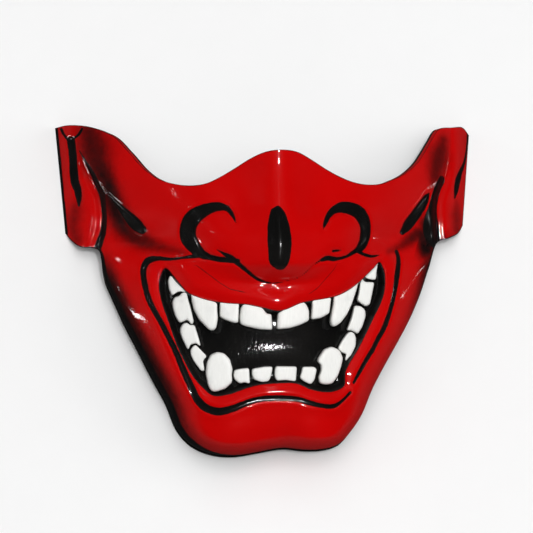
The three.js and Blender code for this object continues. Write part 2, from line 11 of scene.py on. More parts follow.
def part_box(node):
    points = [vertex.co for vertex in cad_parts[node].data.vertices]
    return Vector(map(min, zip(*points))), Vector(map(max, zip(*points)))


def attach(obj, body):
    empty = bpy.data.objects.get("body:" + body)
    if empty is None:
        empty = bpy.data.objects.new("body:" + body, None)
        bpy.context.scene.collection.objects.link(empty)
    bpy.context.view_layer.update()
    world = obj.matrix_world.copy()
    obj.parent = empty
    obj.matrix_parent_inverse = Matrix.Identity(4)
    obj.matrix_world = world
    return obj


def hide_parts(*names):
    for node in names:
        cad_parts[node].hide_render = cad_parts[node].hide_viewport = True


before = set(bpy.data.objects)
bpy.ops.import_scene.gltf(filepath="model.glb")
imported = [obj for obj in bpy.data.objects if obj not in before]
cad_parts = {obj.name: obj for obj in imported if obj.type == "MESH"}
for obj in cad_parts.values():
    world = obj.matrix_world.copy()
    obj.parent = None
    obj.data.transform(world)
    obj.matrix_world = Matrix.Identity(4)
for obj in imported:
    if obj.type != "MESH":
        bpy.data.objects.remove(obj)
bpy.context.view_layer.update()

# Sizes of the part, as in its source
half_width = 95
height = 148
face_depth = 74
rest_lean = math.radians(18)
wall = 3
ear_rise = 15
ear_crown = 1.2
ear_fold_sink = 2.5
ear_fold_width = 5
jaw_round = 14
ear_edge_width = 4
rest_clear = 0.4
rim_arch = 8
face_curve = 1.7
nose_rise = 16
nose_width = 38
nostril_rise = 9
nostril_width = 30
cheek_rise = 5
cheek_width = 26
cheek_fold_sink = 3
cheek_fold_width = 14
lip_rise = 2
lip_width = 9
mouth_sink = 6
mouth_wall = 3.5
mouth_crown = 1
chin_rise = 4
chin_width = 30
chin_cleft_sink = 2.5
chin_cleft_width = 14
top_up = 0.422
percent = 0.01
millimetre = 0.001

# Exponents and shares of the shell's form, and a slack in mm
rim_power = 2.2
ear_flare = 1.2
turn_limit = 0.35
level_from = 0.6
inner_relief = 0.9
edge_slack = 0.1

# Sizes of the finer relief and the teeth
groove_sink = 1.3
groove_slope = 2.4
tear_rise = 1
tear_slope = 5
floor_rise = 2
floor_rise_from = -24
floor_rise_run = 20
tooth_gap = 0.3
lip_gap = 0.25
tooth_proud = 2.2
tooth_flat = 7
tooth_swell = 0.1
tooth_round = 0.9
tooth_set = 1
tooth_thinnest = 0.2

# Sizes of the paint, and of the sprayed dark paint and painted shade
left_border_width = 1.2
right_border_width = 0.3
brow_border_width = 0.25
spray_and_shade_spread = 1.25
jaw_spray_and_shade_width = 9
crease_fade = 8
no_paint_near = 20.0

# Camera: turn to the face, distance and step aside in metres, lens in millimetres
camera_turn = math.radians(5.4)
camera_distance = 1.5
camera_aside = 0.001136
camera_lens = 222.9

# Half the side of the floor, in metres
floor_reach = 1.5

# Mesh fineness
columns = 320
rows_down = 150
rows_round = 60
tooth_sides = 64
tooth_rings = 12
corner_steps = 9
edge_steps = 8
ear_edge_columns = 5

# In every table, across is in percent of half_width and up in percent of height

# Across and up of the upper edge, across and up of the lower edge, wrap, rise, turn
edge_rows = [
    [-99.8, 42.2, -95.5, 10, 0, 0, 1],
    [-94.7, 42.8, -92.6, 7.6, 0, 0, 1],
    [-88.4, 42.6, -88.4, 5.8, 0, 0.3, 1],
    [-83.2, 41.9, -83.5, 5.6, 0.15, 0.6, 1],
    [-78.4, 40.7, -79.9, 4.2, 0.5, 1, 1],
    [-72.6, 38.5, -78.1, -3.4, 0.9, 1, 1],
    [-66.3, 33.8, -73.9, -9.8, 1, 1, 1],
    [-60, 29, -69.1, -16.9, 1, 1, 1],
    [-53.2, 25.8, -62.8, -24.9, 1, 0.9, 1],
    [-45.8, 24.3, -56.3, -33.2, 1, 0.75, 1],
    [-39, 23.9, -50.2, -40.5, 1, 0.5, 1],
    [-32.6, 24.5, -45.3, -48.2, 1, 0.2, 0.9],
    [-26.8, 26.2, -38.7, -52.9, 1, 0, 0.7],
    [-20, 28.8, -29.5, -55.5, 1, 0, 0.55],
    [-13.2, 31.6, -19, -56.1, 1, 0, 0.5],
    [-6.3, 33.6, -8.4, -55.1, 1, 0, 0.5],
    [1, 34.2, 3.2, -53.9, 1, 0, 0.5],
    [8.4, 33.6, 13.7, -54.5, 1, 0, 0.5],
    [15.3, 31.4, 22.6, -54.3, 1, 0, 0.5],
    [22.1, 28.8, 29.8, -52.8, 1, 0, 0.55],
    [28.4, 26.7, 35.6, -49, 1, 0.2, 0.6],
    [35.3, 25, 40.9, -43.9, 1, 0.45, 0.65],
    [42.1, 24.3, 45.9, -36.6, 1, 0.75, 0.7],
    [48.9, 24.6, 51.9, -29.7, 1, 0.9, 0.7],
    [55.8, 26.1, 59.1, -22.1, 1, 1, 0.7],
    [62.6, 28.2, 65.3, -15.2, 1, 1, 0.75],
    [69.4, 31.8, 70.5, -8, 0.9, 1, 0.85],
    [76.3, 38, 74.2, -0.7, 0.5, 1, 1],
    [81, 41.8, 78.7, 6.8, 0.15, 0.6, 1],
    [88.4, 42.5, 85.3, 8.6, 0, 0.3, 1],
    [94.7, 42.7, 90.5, 10.1, 0, 0, 1],
    [98.9, 40.5, 93.7, 12.5, 0, 0, 1],
]

# Up, depth share
profile_rows = [
    [43, 0.9],
    [34, 0.92],
    [20, 0.9],
    [5, 0.92],
    [-5, 0.97],
    [-14, 1],
    [-30, 1],
    [-42, 0.99],
    [-50, 0.96],
    [-58, 0.9],
]

# Up, share of nose_rise, share of nose_width
ridge_rows = [
    [36, 0.3, 0.7],
    [28, 0.38, 0.65],
    [18, 0.72, 0.75],
    [12, 0.9, 0.95],
    [7, 0.98, 1],
    [3, 0.95, 1],
    [0.5, 0.85, 1],
    [-2, 0.5, 1],
    [-4.5, 0.13, 1],
    [-7, 0, 1],
]

# Up, across on the left, across on the right, depth
fold_rows = [
    [43, 91, 88, 0],
    [34, 89, 87, 0.4],
    [26, 84, 84, 1],
    [20, 79.5, 80, 1],
    [12, 79, 79.5, 1],
    [6, 81.5, 80.5, 0.8],
    [0, 83, 82, 0],
]

# Mouth opening, a closed loop: across, up
mouth_rows = [
    [-51, -0.3],
    [-54, -4.3],
    [-53.5, -9],
    [-50.3, -15.8],
    [-46, -23.7],
    [-39.2, -32.3],
    [-34.7, -35.6],
    [-30.4, -37.8],
    [-24, -37.5],
    [-11.5, -34.9],
    [-4, -34.3],
    [7.6, -34.3],
    [14, -36],
    [20.7, -36.8],
    [26, -36.5],
    [30, -34.9],
    [30.8, -30.7],
    [37, -24.1],
    [44.5, -15.1],
    [48, -11],
    [50.3, -6.8],
    [50.4, -1.4],
    [48, 1.4],
    [44.5, -0.5],
    [37, -4.7],
    [32.2, -6.8],
    [26, -8.6],
    [14, -10],
    [9.5, -10.6],
    [0, -12.8],
    [-8.3, -11.8],
    [-14.6, -11],
    [-24, -10.6],
    [-30.4, -10],
    [-36, -9],
    [-41, -7.6],
    [-46, -3.9],
]

# Rounded swellings: across, up, width across, width up, rise
swelling_rows = [
    [-30, 9, nostril_width, nostril_width, nostril_rise],
    [30, 9, nostril_width, nostril_width, nostril_rise],
    [-52, 20, 2 * cheek_width, cheek_width, cheek_rise],
    [52, 20, 2 * cheek_width, cheek_width, cheek_rise],
    [-61, 7, 3 * cheek_fold_width, cheek_fold_width, -cheek_fold_sink],
    [61, 7, 3 * cheek_fold_width, cheek_fold_width, -cheek_fold_sink],
    [-22, -49, chin_width, chin_width, chin_rise],
    [17, -48, chin_width, chin_width, chin_rise],
    [2, -54, chin_cleft_width, 2 * chin_cleft_width, -chin_cleft_sink],
]

# Painted grooves: across, up, width of the stroke in mm
groove_tables = {
    "crescent_left": [
        [-20, 12.8, 0.4], [-21.6, 15.3, 1.8], [-23.7, 17, 2.6], [-27.2, 17.6, 3.9],
        [-31.4, 17.1, 4.8], [-35.6, 15.9, 6.1], [-39.1, 14.1, 7], [-40.8, 11.7, 6.7],
        [-41, 9, 6.7], [-39.4, 6.7, 6.1], [-37.3, 4.9, 5], [-34.9, 3.6, 3.9],
        [-31.4, 2.7, 2.6], [-27.2, 2.1, 2.4], [-23, 1.8, 2.2], [-19.5, 1.6, 2.2],
    ],
    "nose_foot_left": [
        [-28.4, 4.9, 0.4], [-25.6, 3.8, 1.3], [-22.5, 2.7, 2.2], [-19.3, 0.9, 2],
        [-15.1, -1.3, 1.5], [-10.9, -3.4, 1.3], [-7.4, -4.4, 1.1], [-3.9, -4.8, 0.7],
        [0.6, -4.5, 0.5], [4.8, -3.8, 0.4],
    ],
    "crescent_right": [
        [19.7, 10.8, 0.4], [20.8, 12.6, 1.8], [22.9, 15.1, 2.6], [26.1, 16.8, 3.5],
        [29.6, 17.4, 5], [33.5, 17.1, 5.7], [37.4, 16, 6.1], [39.8, 14, 6.1],
        [40.9, 11.7, 5.5], [40.7, 9.2, 5.3], [39.8, 7.2, 4.6], [38.1, 5.6, 3.9],
        [36, 4.7, 2.2], [34.2, 4.1, 1.8], [31.7, 3.1, 1.3], [28.5, 2.5, 1.3],
        [25.4, 2.2, 2], [21.9, 2.5, 2.2], [19.7, 2.1, 1.8], [17.3, 1.4, 0.9],
        [14.1, 0, 0.6], [10.6, -2.3, 0.5], [6, -3.9, 0.4],
    ],
    "fold_right": [[36.9, 4.5, 1.8], [40.4, 3.5, 1.5], [44, 3, 1.3], [47.9, 3.4, 0.4]],
    "nostril_right": [[24.5, 4.5, 1.3], [26.7, 4.7, 0.9], [28.7, 4.8, 0.4]],
    "cheek_left": [
        [-75.8, 21.4, 0.4], [-71.2, 18.1, 2.2], [-67.4, 15.2, 4.2], [-63.5, 12.4, 5.2],
        [-60.9, 10.9, 3.8],
    ],
    "cheek_right": [
        [75, 22.2, 0.4], [73.6, 21, 3], [71.6, 19, 4.2], [67, 15.3, 5], [62.8, 12, 4.6],
        [60.6, 10.3, 2.6],
    ],
    "lip_left": [
        [-36.6, 3.2, 2.2], [-42.9, 2.6, 1.3], [-49.1, 2.2, 1.5], [-54.7, 2.4, 2.2],
        [-58.4, 1.8, 3.1], [-60.6, -0.3, 2.6], [-60.9, -2.6, 2.5], [-60, -6.3, 2.5],
        [-58.4, -10.1, 2.5], [-52.8, -17.1, 2.4], [-46.6, -25.3, 2.6], [-43.5, -30.3, 2.9],
        [-40.4, -34.8, 3.1], [-37.3, -38.9, 3.3], [-33.5, -41.3, 3.5], [-27.9, -42.3, 3.5],
        [-22.2, -41.5, 3.1], [-14.7, -39.6, 2.7], [-9.6, -38.7, 2.6], [-4, -38.4, 2.6],
        [1.1, -38.4, 2.5], [8.3, -38.8, 2.4], [14.1, -39.9, 2.2], [19.4, -40.7, 2],
        [24.8, -40.8, 2], [28.8, -39.2, 1.3], [32.5, -36.9, 1.1],
    ],
    "lip_right": [
        [34.2, -34.1, 1.1], [37.6, -30.4, 1.8], [40.3, -27.5, 2], [43.8, -24.2, 2.2],
        [46.6, -20.9, 2.2], [49.4, -18, 2.4], [51.5, -14.7, 2.2], [53.6, -10.9, 2],
        [55.4, -6.4, 2.2], [56.8, -1.8, 2.6], [57.9, 2.4, 2.2], [57.2, 4.5, 1.8],
    ],
    "ear_left": [
        [-92.8, 38.2, 3.5], [-92.1, 34.6, 3.5], [-91.8, 31.9, 3.5], [-91.2, 26.1, 3.7],
        [-89.8, 23.1, 3.4], [-89.3, 20.4, 2.4], [-89.3, 18.3, 0.9],
    ],
    "ear_right": [
        [98, 41, 0.9], [97.2, 36.3, 1.1], [95.3, 31.8, 1.5], [92.6, 28.6, 2.4],
        [91.2, 26.4, 3.1], [90.1, 23.4, 2.6], [89.2, 20.9, 0.9],
    ],
}

# Painted lines with no groove of their own: across, up, width of the stroke in mm
line_tables = {
    "ear_fold_left": [
        [-88.9, 34.9, 0.4], [-86.4, 31.9, 0.9], [-83.1, 28, 1.8], [-80.8, 24.7, 2.2],
        [-78.9, 22, 2.6], [-78, 18.1, 2.2], [-77.7, 14.2, 2.2], [-78.4, 10.3, 2.6],
        [-79.8, 7.6, 3.1], [-80.8, 5.8, 3.1],
    ],
    "ear_fold_right": [
        [82, 26.3, 3.8], [79.4, 23.1, 4], [77, 18, 4.8], [75.8, 14.1, 7.5],
        [76, 10.4, 8.5], [77.6, 7.7, 6],
    ],
    "ear_notch_left": [
        [-97.1, 41.8, 1.1], [-95.9, 40, 1.1], [-94.2, 38.7, 1.1], [-92.4, 38.5, 1.1],
        [-90, 39.4, 1.1], [-88.1, 41, 1.2], [-87.7, 41.6, 1.1],
    ],
}

# Thin creases in the upper lip, each drawn as a dark line that stands in for its shade: across, up
crease_rows = [
    [-37.5, 0.4], [-31.6, -2.5], [-27, -4.8], [-22.5, -6.6], [-16.1, -7.5],
    [13.7, -7.9], [17.4, -6.3], [21.5, -3.4], [25.2, -0.7], [26.6, 1],
]

# First and last row of crease_rows, for the left crease and the right one
crease_ends = [[0, 4], [5, 9]]

# Black drop on the nose, a closed loop: across, up
tear_rows = [
    [-1.3, 17.8], [-3.3, 17.2], [-4.4, 16.7], [-5.8, 13.8], [-6.5, 9.7], [-6.3, 4.5],
    [-5.6, 1], [-3.3, -0.4], [-1, -1], [1.1, -0.7], [2.8, 0.9], [3.8, 3.3], [4.4, 6.5],
    [4, 10.3], [2.8, 13.8], [1.1, 16.4],
]

# Dark paint sprayed on, with painted shade where the surface turns from the light and under the
# cheeks: across, up, width in mm, strength
spray_and_shade_tables = {
    "wing_left": [
        [-84.4, 40.1, 11.4, 0.75], [-82.5, 35.9, 14, 0.78], [-81.1, 31.1, 12.3, 0.8],
        [-77.4, 26.4, 8.5, 0.9], [-74.6, 21, 8, 0.95], [-71.8, 15.6, 8.5, 0.95],
        [-68.1, 10.9, 8.8, 0.85], [-60.7, 7.6, 7.9, 0.75], [-51.4, 5.5, 5.3, 0.55],
        [-42.1, 4, 3.5, 0.4],
    ],
    "wing_right": [
        [83.2, 38.3, 6.1, 0.6], [80.8, 33.7, 10.5, 0.7], [78.9, 29.2, 8.8, 0.7],
        [77.5, 25, 5.3, 0.6],
    ],
    "fold_right": [
        [74, 12.6, 8.5, 0.95], [73, 5, 8.5, 1], [70, 9.6, 7.4, 0.85], [61, 6.6, 5, 0.6],
        [52.5, 4.3, 2.6, 0.4],
    ],
    "ear_left": [
        [-89.5, 20.1, 3.5, 0.4], [-90.9, 16.5, 6.1, 0.5], [-91.8, 12.3, 6.1, 0.5],
        [-90.4, 8, 5.3, 0.5],
    ],
    "ear_right": [[90, 20.3, 2.6, 0.3], [90, 16.1, 6.1, 0.5], [90, 11.2, 6.1, 0.5]],
}

# Place along the lower edge by the row of edge_rows, width of the black edge, soft sprayed paint
# and painted shade where the rim turns from the light
jaw_rows = np.array([
    [0, 0.4, 0], [3, 0.4, 0.1], [4, 1.1, 0.2], [5, 1.8, 0.9], [7, 2.2, 0.9], [9, 2.3, 0.9],
    [11, 2.4, 0.6], [12, 2.4, 0.45], [13, 1.5, 0.3], [14, 0.7, 0.2], [15, 0.2, 0.15],
    [19, 0.25, 0.05], [24, 0.5, 0.1], [26, 1.1, 0.6], [27, 1.2, 0.8], [28, 0.6, 0.5],
    [31, 0.3, 0.1],
])

# Outlines of the teeth: name, proud, then corners as across, up
tooth_corners = {
    "fang_upper_left": [
        1.5, [-39.7, -7.9], [-36.8, -9.1], [-31.3, -9.8], [-28.3, -10.8], [-28.2, -13.3],
        [-27.9, -15], [-28.7, -18], [-30.1, -18.8], [-31.7, -18.5], [-36.1, -15.5],
        [-38.3, -12.7], [-39.1, -10.4],
    ],
    "incisor_upper_1": [
        0.8, [-26.8, -10.3], [-23, -10.3], [-18.7, -10.7], [-18.5, -12.4], [-18.8, -16.5],
        [-20.8, -16.4], [-24.4, -15.6], [-26.9, -14.7],
    ],
    "incisor_upper_2": [
        1, [-16.4, -11], [-8.2, -12.1], [-5.8, -13.9], [-3.8, -13.9], [-3.4, -18.5],
        [-9.2, -18.3], [-15.5, -17.4], [-17.8, -16.7], [-18, -14.5], [-17.5, -12.3],
    ],
    "incisor_upper_3": [
        1, [-0.8, -13.7], [1.3, -13], [3.6, -11.8], [7.3, -10.8], [10.9, -10.4], [12.7, -11.5],
        [13.6, -13], [13.5, -15.8], [9.6, -17], [4.5, -18], [-1.2, -18.3],
    ],
    "incisor_upper_4": [
        0.8, [15.2, -10], [24, -9.2], [23.7, -11.3], [23.1, -13.7], [19, -15.1], [14.6, -15.5],
        [15.1, -12.4],
    ],
    "fang_upper_right": [
        1.5, [25.3, -8.8], [31.4, -7], [37, -4.4], [36.2, -6.9], [33.7, -11.2], [31.2, -14.2],
        [28.3, -16.5], [25.4, -17.7], [24, -17.4], [23.5, -15.7], [24.6, -12.7], [25.2, -10.7],
    ],
    "molar_left_1": [
        0, [-48.7, -2.6], [-46.7, -4.4], [-41.9, -7.6], [-43.9, -7.2], [-45.9, -7.5],
        [-48, -8.6], [-49.3, -6.6], [-49.7, -4.3],
    ],
    "molar_left_2": [
        0.2, [-47.9, -10.4], [-46.9, -9.1], [-44.5, -8.7], [-43.5, -7.7], [-41.8, -7.7],
        [-40, -11.9], [-38.5, -16.3], [-39.4, -17.1], [-41.2, -15.5], [-44.8, -16.6],
        [-46.5, -14.8], [-47.6, -12.5],
    ],
    "molar_left_3": [
        0.2, [-44.5, -18.2], [-43.2, -16.8], [-41.4, -16.5], [-40.1, -17.3], [-38.2, -17.1],
        [-36.6, -20.6], [-35.5, -23.4], [-37.5, -22.4], [-40.2, -22.9], [-41.2, -24.5],
        [-43.5, -21.4], [-44.5, -19.5],
    ],
    "molar_left_4": [
        0, [-40, -24.5], [-38.8, -23.4], [-37.7, -23], [-35.5, -24.5], [-32.8, -26.3],
        [-34.6, -27.5], [-33.9, -30.6], [-35.3, -30.6], [-38.6, -27.7], [-39.9, -25.9],
    ],
    "molar_right_1": [
        0, [47.2, 1.2], [43.3, -0.6], [41.2, -1.6], [40.1, -2.7], [42.3, -3.6], [46, -4],
    ],
    "molar_right_2": [
        0.2, [39, -3.5], [40.6, -4.6], [45.4, -4.7], [44.5, -7.2], [42.9, -11.2], [41, -11.8],
        [36.8, -10], [37.7, -8.1], [38.3, -5.8],
    ],
    "molar_right_3": [
        0.2, [35.5, -11.6], [38.4, -11.7], [40.6, -12.8], [40.8, -14.6], [39, -17.8],
        [36.8, -19.9], [33.9, -18.7], [31.6, -18.8], [33.9, -15.3],
    ],
    "molar_right_4": [
        0, [32, -19.6], [33.5, -19.2], [35.1, -19.6], [36, -21], [35.6, -23.4], [33.4, -26],
        [30.6, -27.9], [31.4, -25.7], [29.3, -25.3], [27.3, -24.1], [29.6, -21.6],
    ],
    "fang_lower_left": [
        1.5, [-28.1, -25], [-31, -25.8], [-32.8, -28.2], [-33.3, -31.4], [-32.4, -34.6],
        [-31.1, -36.3], [-29.1, -36.6], [-24.6, -35.6], [-21.7, -33.8], [-21.9, -31.4],
        [-21.5, -29.9], [-22.8, -27], [-25.2, -25.4],
    ],
    "fang_lower_right": [
        1.5, [24.1, -23.5], [20.6, -24.3], [18.3, -26.4], [17.3, -27.6], [19, -28.8],
        [19.2, -30.3], [17.9, -32.6], [18.4, -34.2], [21.1, -34.6], [24.1, -34.3], [26.7, -32.3],
        [28.6, -28.9], [29.3, -26.8], [27.7, -24.5],
    ],
    "incisor_lower_1": [
        0.5, [-20.4, -30.3], [-17.2, -29.9], [-14, -29.7], [-13.6, -34.2], [-16.1, -33.8],
        [-18.1, -34.2], [-20.4, -33], [-20.9, -31.7],
    ],
    "incisor_lower_2": [
        0.6, [-12.5, -30], [-6.9, -29.3], [-3.3, -29.3], [-3.9, -31.7], [-5, -33.4],
        [-8.2, -33.7], [-11.6, -33], [-12.5, -31.7],
    ],
    "incisor_lower_3": [
        0.6, [-1.7, -29.2], [7.8, -29.3], [7.6, -31.4], [7.3, -33.5], [2.7, -33.1],
        [-1.4, -33.3], [-2.3, -32], [-2.1, -30.2],
    ],
    "incisor_lower_4": [
        0.5, [10.6, -29.4], [15.7, -29.4], [17.1, -30], [16, -33.2], [14.3, -34.5],
        [11.3, -33.6], [9.3, -32.6], [10.1, -31.1],
    ],
}

# Colours
red = (0.56, 0.0004, 0.0006, 1)
dull_red = (0.525, 0.0003, 0.0004, 1)
# Deep red for the sprayed dark paint and the painted shade
spray_and_shade_red = (0.16, 0.0002, 0.0002, 1)
black = (0.003, 0.003, 0.003, 1)
dull_black = (0.007, 0.0065, 0.006, 1)
inner_black = (0.012, 0.012, 0.012, 1)
inner_grey = (0.028, 0.027, 0.026, 1)
tooth_white = (0.92, 0.92, 0.89, 1)
tooth_dull = (0.86, 0.86, 0.83, 1)
tooth_stain = (0.66, 0.67, 0.66, 1)
floor_grey = (0.93, 0.93, 0.93, 1)
floor_white = (0.95, 0.95, 0.95, 1)

# How far the gloss coat's normal is drawn to the face's own axis
gloss_draw = 0.2

# Strength of the white world, as light and as the camera sees it
world_light = 0.018
world_seen = 0.93

# Lights: name, bearing, angle off the face's axis, distance, width, length, power, in gloss
light_rows = [
    ["front", 10, 9, 1.5, 0.06, 0.06, 4, True],
    ["front_soft", 0, 14, 1.7, 1.2, 1.2, 15.5, False],
    ["over", 0, 48, 1.6, 1.6, 1.2, 6, False],
    ["ridge_strip", -2, 30, 1.6, 0.02, 0.4, 0.05, True],
    ["left_strip", -98, 84, 1.1, 0.03, 0.08, 0.3, True],
    ["right_strip", 86, 84, 1.1, 0.03, 0.05, 0.06, True],
    ["left_high", -72, 51, 1.2, 0.02, 0.05, 0.1, True],
    ["ear_strip", -61, 75, 1.1, 0.02, 0.05, 0.2, True],
    ["left_soft", -80, 60, 1.5, 0.9, 0.9, 1.8, False],
    ["right_soft", 80, 58, 1.5, 0.9, 0.9, 5, False],
    ["fill", 180, 35, 1.8, 1.6, 1.6, 2.8, False],
]

# Depth of the point behind the foot of the nose that the lights are turned to
light_target_depth = 30


def between_rows(rows, at):
    """Smooth value between the rows of a table, by row number."""
    rows = np.asarray(rows, float)
    at = np.asarray(at, float)
    last = len(rows) - 1
    low = np.clip(np.floor(at).astype(int), 0, last - 1)
    f = (at - low)[..., None]
    a, b, c, e = (rows[np.clip(low + step, 0, last)] for step in (-1, 0, 1, 2))
    out, into, rest = (c - a) / 2, (e - b) / 2, c - b
    return b + f * (out + f * (3 * rest - 2 * out - into + f * (out + into - 2 * rest)))


def at_height(rows, h):
    """Smooth value of a table whose first column is up."""
    rows = np.asarray(rows, float)
    at = np.interp(-h / (height * percent), -rows[:, 0], np.arange(len(rows)))
    return between_rows(rows, at)


def placed(rows):
    """A table's rows with across and up turned to millimetres."""
    made = np.array(rows, float)
    made[..., 0] *= percent * half_width
    made[..., 1] *= percent * height
    return made


def smooth_line(rows, closed=False, steps=6):
    """A smooth line through a table's points, as a row of short steps."""
    points = placed(rows)
    if closed:
        points = np.vstack([points[-1:], points, points[:2]])
    else:
        before = 2 * points[:1] - points[1:2]
        after = 2 * points[-1:] - points[-2:-1]
        points = np.vstack([before, points, after])
    count = len(points) - 3
    t = np.linspace(0, count, count * steps + 1)
    low = np.minimum(t.astype(int), count - 1)
    f = (t - low)[:, None]
    a, b, c, e = (points[low + k] for k in range(4))
    spans = []
    for p, q in ((a, b), (b, c), (c, e)):
        spans.append(np.linalg.norm((q - p)[:, :2], axis=1, keepdims=True) ** 0.5)
    da, db, dc = spans
    out = ((b - a) / da - (c - a) / (da + db) + (c - b) / db) * db
    into = ((c - b) / db - (e - b) / (db + dc) + (e - c) / dc) * db
    rest = c - b
    return b + f * (out + f * (3 * rest - 2 * out - into + f * (out + into - 2 * rest)))


def nearest(line, x, h):
    """Distance from points to a line, and the nearest place along the line."""
    best = np.full(np.shape(x), np.inf)
    at = np.zeros(np.shape(x))
    for k in range(len(line) - 1):
        a, b = line[k], line[k + 1]
        dx, dh = b[0] - a[0], b[1] - a[1]
        f = np.clip(((x - a[0]) * dx + (h - a[1]) * dh) / max(dx * dx + dh * dh, 1e-9), 0, 1)
        away = np.hypot(x - a[0] - f * dx, h - a[1] - f * dh)
        closer = away < best
        best = np.where(closer, away, best)
        at = np.where(closer, k + f, at)
    return best, at


def value_along(line, at, column):
    """One column of a line's points, at places along the line."""
    low = np.minimum(at.astype(int), len(line) - 2)
    f = at - low
    return line[low, column] * (1 - f) + line[low + 1, column] * f


def stroke_distance(line, x, h):
    """Distance from points to the edge of a painted stroke, under nought on the stroke."""
    away, at = nearest(line, x, h)
    return away - value_along(line, at, 2) / 2


def inside(line, x, h):
    """Whether points lie inside a closed line."""
    within = np.zeros(np.shape(x), bool)
    for a, b in zip(line[:-1], line[1:]):
        crosses = (a[1] > h) != (b[1] > h)
        slope = (b[0] - a[0]) / ((b[1] - a[1]) or 1e-9)
        within ^= crosses & (x < a[0] + (h - a[1]) * slope)
    return within


def loop_distance(line, x, h):
    """Distance from points to a closed line, under nought inside it."""
    away, _ = nearest(line, x, h)
    return np.where(inside(line, x, h), -away, away)


def bell(distance, width):
    """One at no distance, next to nothing at the width."""
    return np.exp(-4 * (distance / width) ** 2)


def ease(f):
    """Smooth step from nought to one."""
    t = np.clip(f, 0, 1)
    return t * t * (3 - 2 * t)


mouth = smooth_line(mouth_rows, closed=True)
tear = smooth_line(tear_rows, closed=True)
grooves = [smooth_line(rows) for rows in groove_tables.values()]
lines = [smooth_line(rows) for rows in line_tables.values()]
sprays_and_shade = [smooth_line(rows) for rows in spray_and_shade_tables.values()]

edge_at = np.arange((len(edge_rows) - 1) * edge_steps + 1) / edge_steps
lower_edge = placed(between_rows(edge_rows, edge_at)[:, 2:4])
upper_edge = placed(between_rows(edge_rows, edge_at)[:, 0:2])
left_ear_edge = placed([edge_rows[0][:2], edge_rows[0][2:4]])
right_ear_edge = placed([edge_rows[-1][:2], edge_rows[-1][2:4]])


def rim_at(at):
    """Wrap, rise and turn of the rim, by row of edge_rows."""
    row = np.clip(between_rows(edge_rows, at)[..., 4:7], 0, 1)
    return row[..., 0], row[..., 1], row[..., 2]


def rest_depth(h):
    """The surface the mask lies on, as a depth in the face's frame."""
    return (top_up * height - h) * math.tan(rest_lean)


def fold_place(x, h):
    """Distance of the fold before the ear from the middle, and its share of the sink."""
    fold = at_height(fold_rows, h)
    return np.where(x < 0, fold[..., 1], fold[..., 2]) * percent * half_width, fold[..., 3]


def main_form(x, h):
    """Large form of the face and the ears, without relief."""
    reach = np.abs(x)
    fold_x, _ = fold_place(x, h)
    middle = at_height(profile_rows, h)[..., 1] * face_depth
    ground = rest_depth(h)
    ear = ground + ear_rise
    outer = []
    for top, low in (left_ear_edge, right_ear_edge):
        down = np.clip((top[1] - h) / (top[1] - low[1]), 0, 1)
        outer.append(np.abs(top[0] + down * (low[0] - top[0])))
    outer_x = np.where(x < 0, *outer)
    depth = middle - (middle - ear) * (reach / fold_x) ** face_curve
    out = np.clip((reach - fold_x) / (outer_x - fold_x), 0, 1)
    flap = ear + (ground - ear) * out**ear_flare + ear_crown * np.sin(np.pi * out)
    depth = np.where(reach > fold_x, flap, depth)
    away, at = nearest(lower_edge, x, h)
    wrap, rise, turn = rim_at(at / edge_steps)
    turned = np.clip(np.maximum(away - edge_slack, 0) / (turn * jaw_round), 0, 1)
    round_share = (1 - (1 - turned) ** rim_power) ** (1 / rim_power)
    rim = ground + rise * rim_arch
    return depth - wrap * (depth - rim) * (1 - round_share)


def broad_relief(x, h):
    """Relief that the inside of the shell follows too."""
    ridge = at_height(ridge_rows, h)
    relief = ridge[..., 1] * nose_rise * bell(x, ridge[..., 2] * nose_width)
    for across, up, wide, tall, rise in swelling_rows:
        cx, ch = placed([across, up])
        relief = relief + rise * bell(np.hypot((x - cx) / wide, (h - ch) / tall), 1)
    return relief


def rim_fade(x, h):
    """Relief dies out at the rim and at the ears' outer edges."""
    away, at = nearest(lower_edge, x, h)
    wrap, _, _ = rim_at(at / edge_steps)
    from_ear = np.minimum(nearest(left_ear_edge, x, h)[0], nearest(right_ear_edge, x, h)[0])
    return (1 - wrap * (1 - ease(2 * away / jaw_round))) * ease(from_ear / ear_fold_width)


def fine_relief(x, h):
    """Relief of the outside alone: lips, mouth, grooves, folds and the drop on the nose."""
    from_mouth = loop_distance(mouth, x, h)
    depth_in = np.maximum(-from_mouth, 0)
    bulge = mouth_crown * ease((depth_in - mouth_wall) / (2 * mouth_sink))
    hollow = mouth_sink * ease(0.5 + 0.5 * np.minimum(depth_in / mouth_wall, 1)) * 2 - mouth_sink
    lip = lip_rise * bell(np.maximum(from_mouth, 0) - lip_width / 2, lip_width)
    on_floor = ease(depth_in / mouth_wall)
    swell = floor_rise * on_floor * ease((floor_rise_from - h) / floor_rise_run)
    relief = np.where(from_mouth < 0, swell - hollow + bulge, lip)
    lip_foot = lip_rise * bell(lip_width / 2, lip_width)
    relief = relief + lip_foot * (from_mouth < 0) * (1 - on_floor)
    sunk = np.zeros(np.shape(x))
    for groove in grooves:
        sunk = np.maximum(sunk, ease((1 - stroke_distance(groove, x, h)) / groove_slope))
    relief = relief - groove_sink * sunk
    fold_x, sink = fold_place(x, h)
    relief = relief - ear_fold_sink * sink * bell(np.abs(x) - fold_x, ear_fold_width)
    return relief + tear_rise * ease(-loop_distance(tear, x, h) / tear_slope)


def front_depth(x, h):
    """Depth of the outside."""
    return main_form(x, h) + rim_fade(x, h) * (broad_relief(x, h) + fine_relief(x, h))


def back_depth(x, h):
    """Depth of the softened face that the inside is set back from."""
    from_mouth = loop_distance(mouth, x, h)
    hollow = mouth_sink * ease((2 * mouth_wall - from_mouth) / (3 * mouth_wall))
    return main_form(x, h) + inner_relief * rim_fade(x, h) * broad_relief(x, h) - hollow


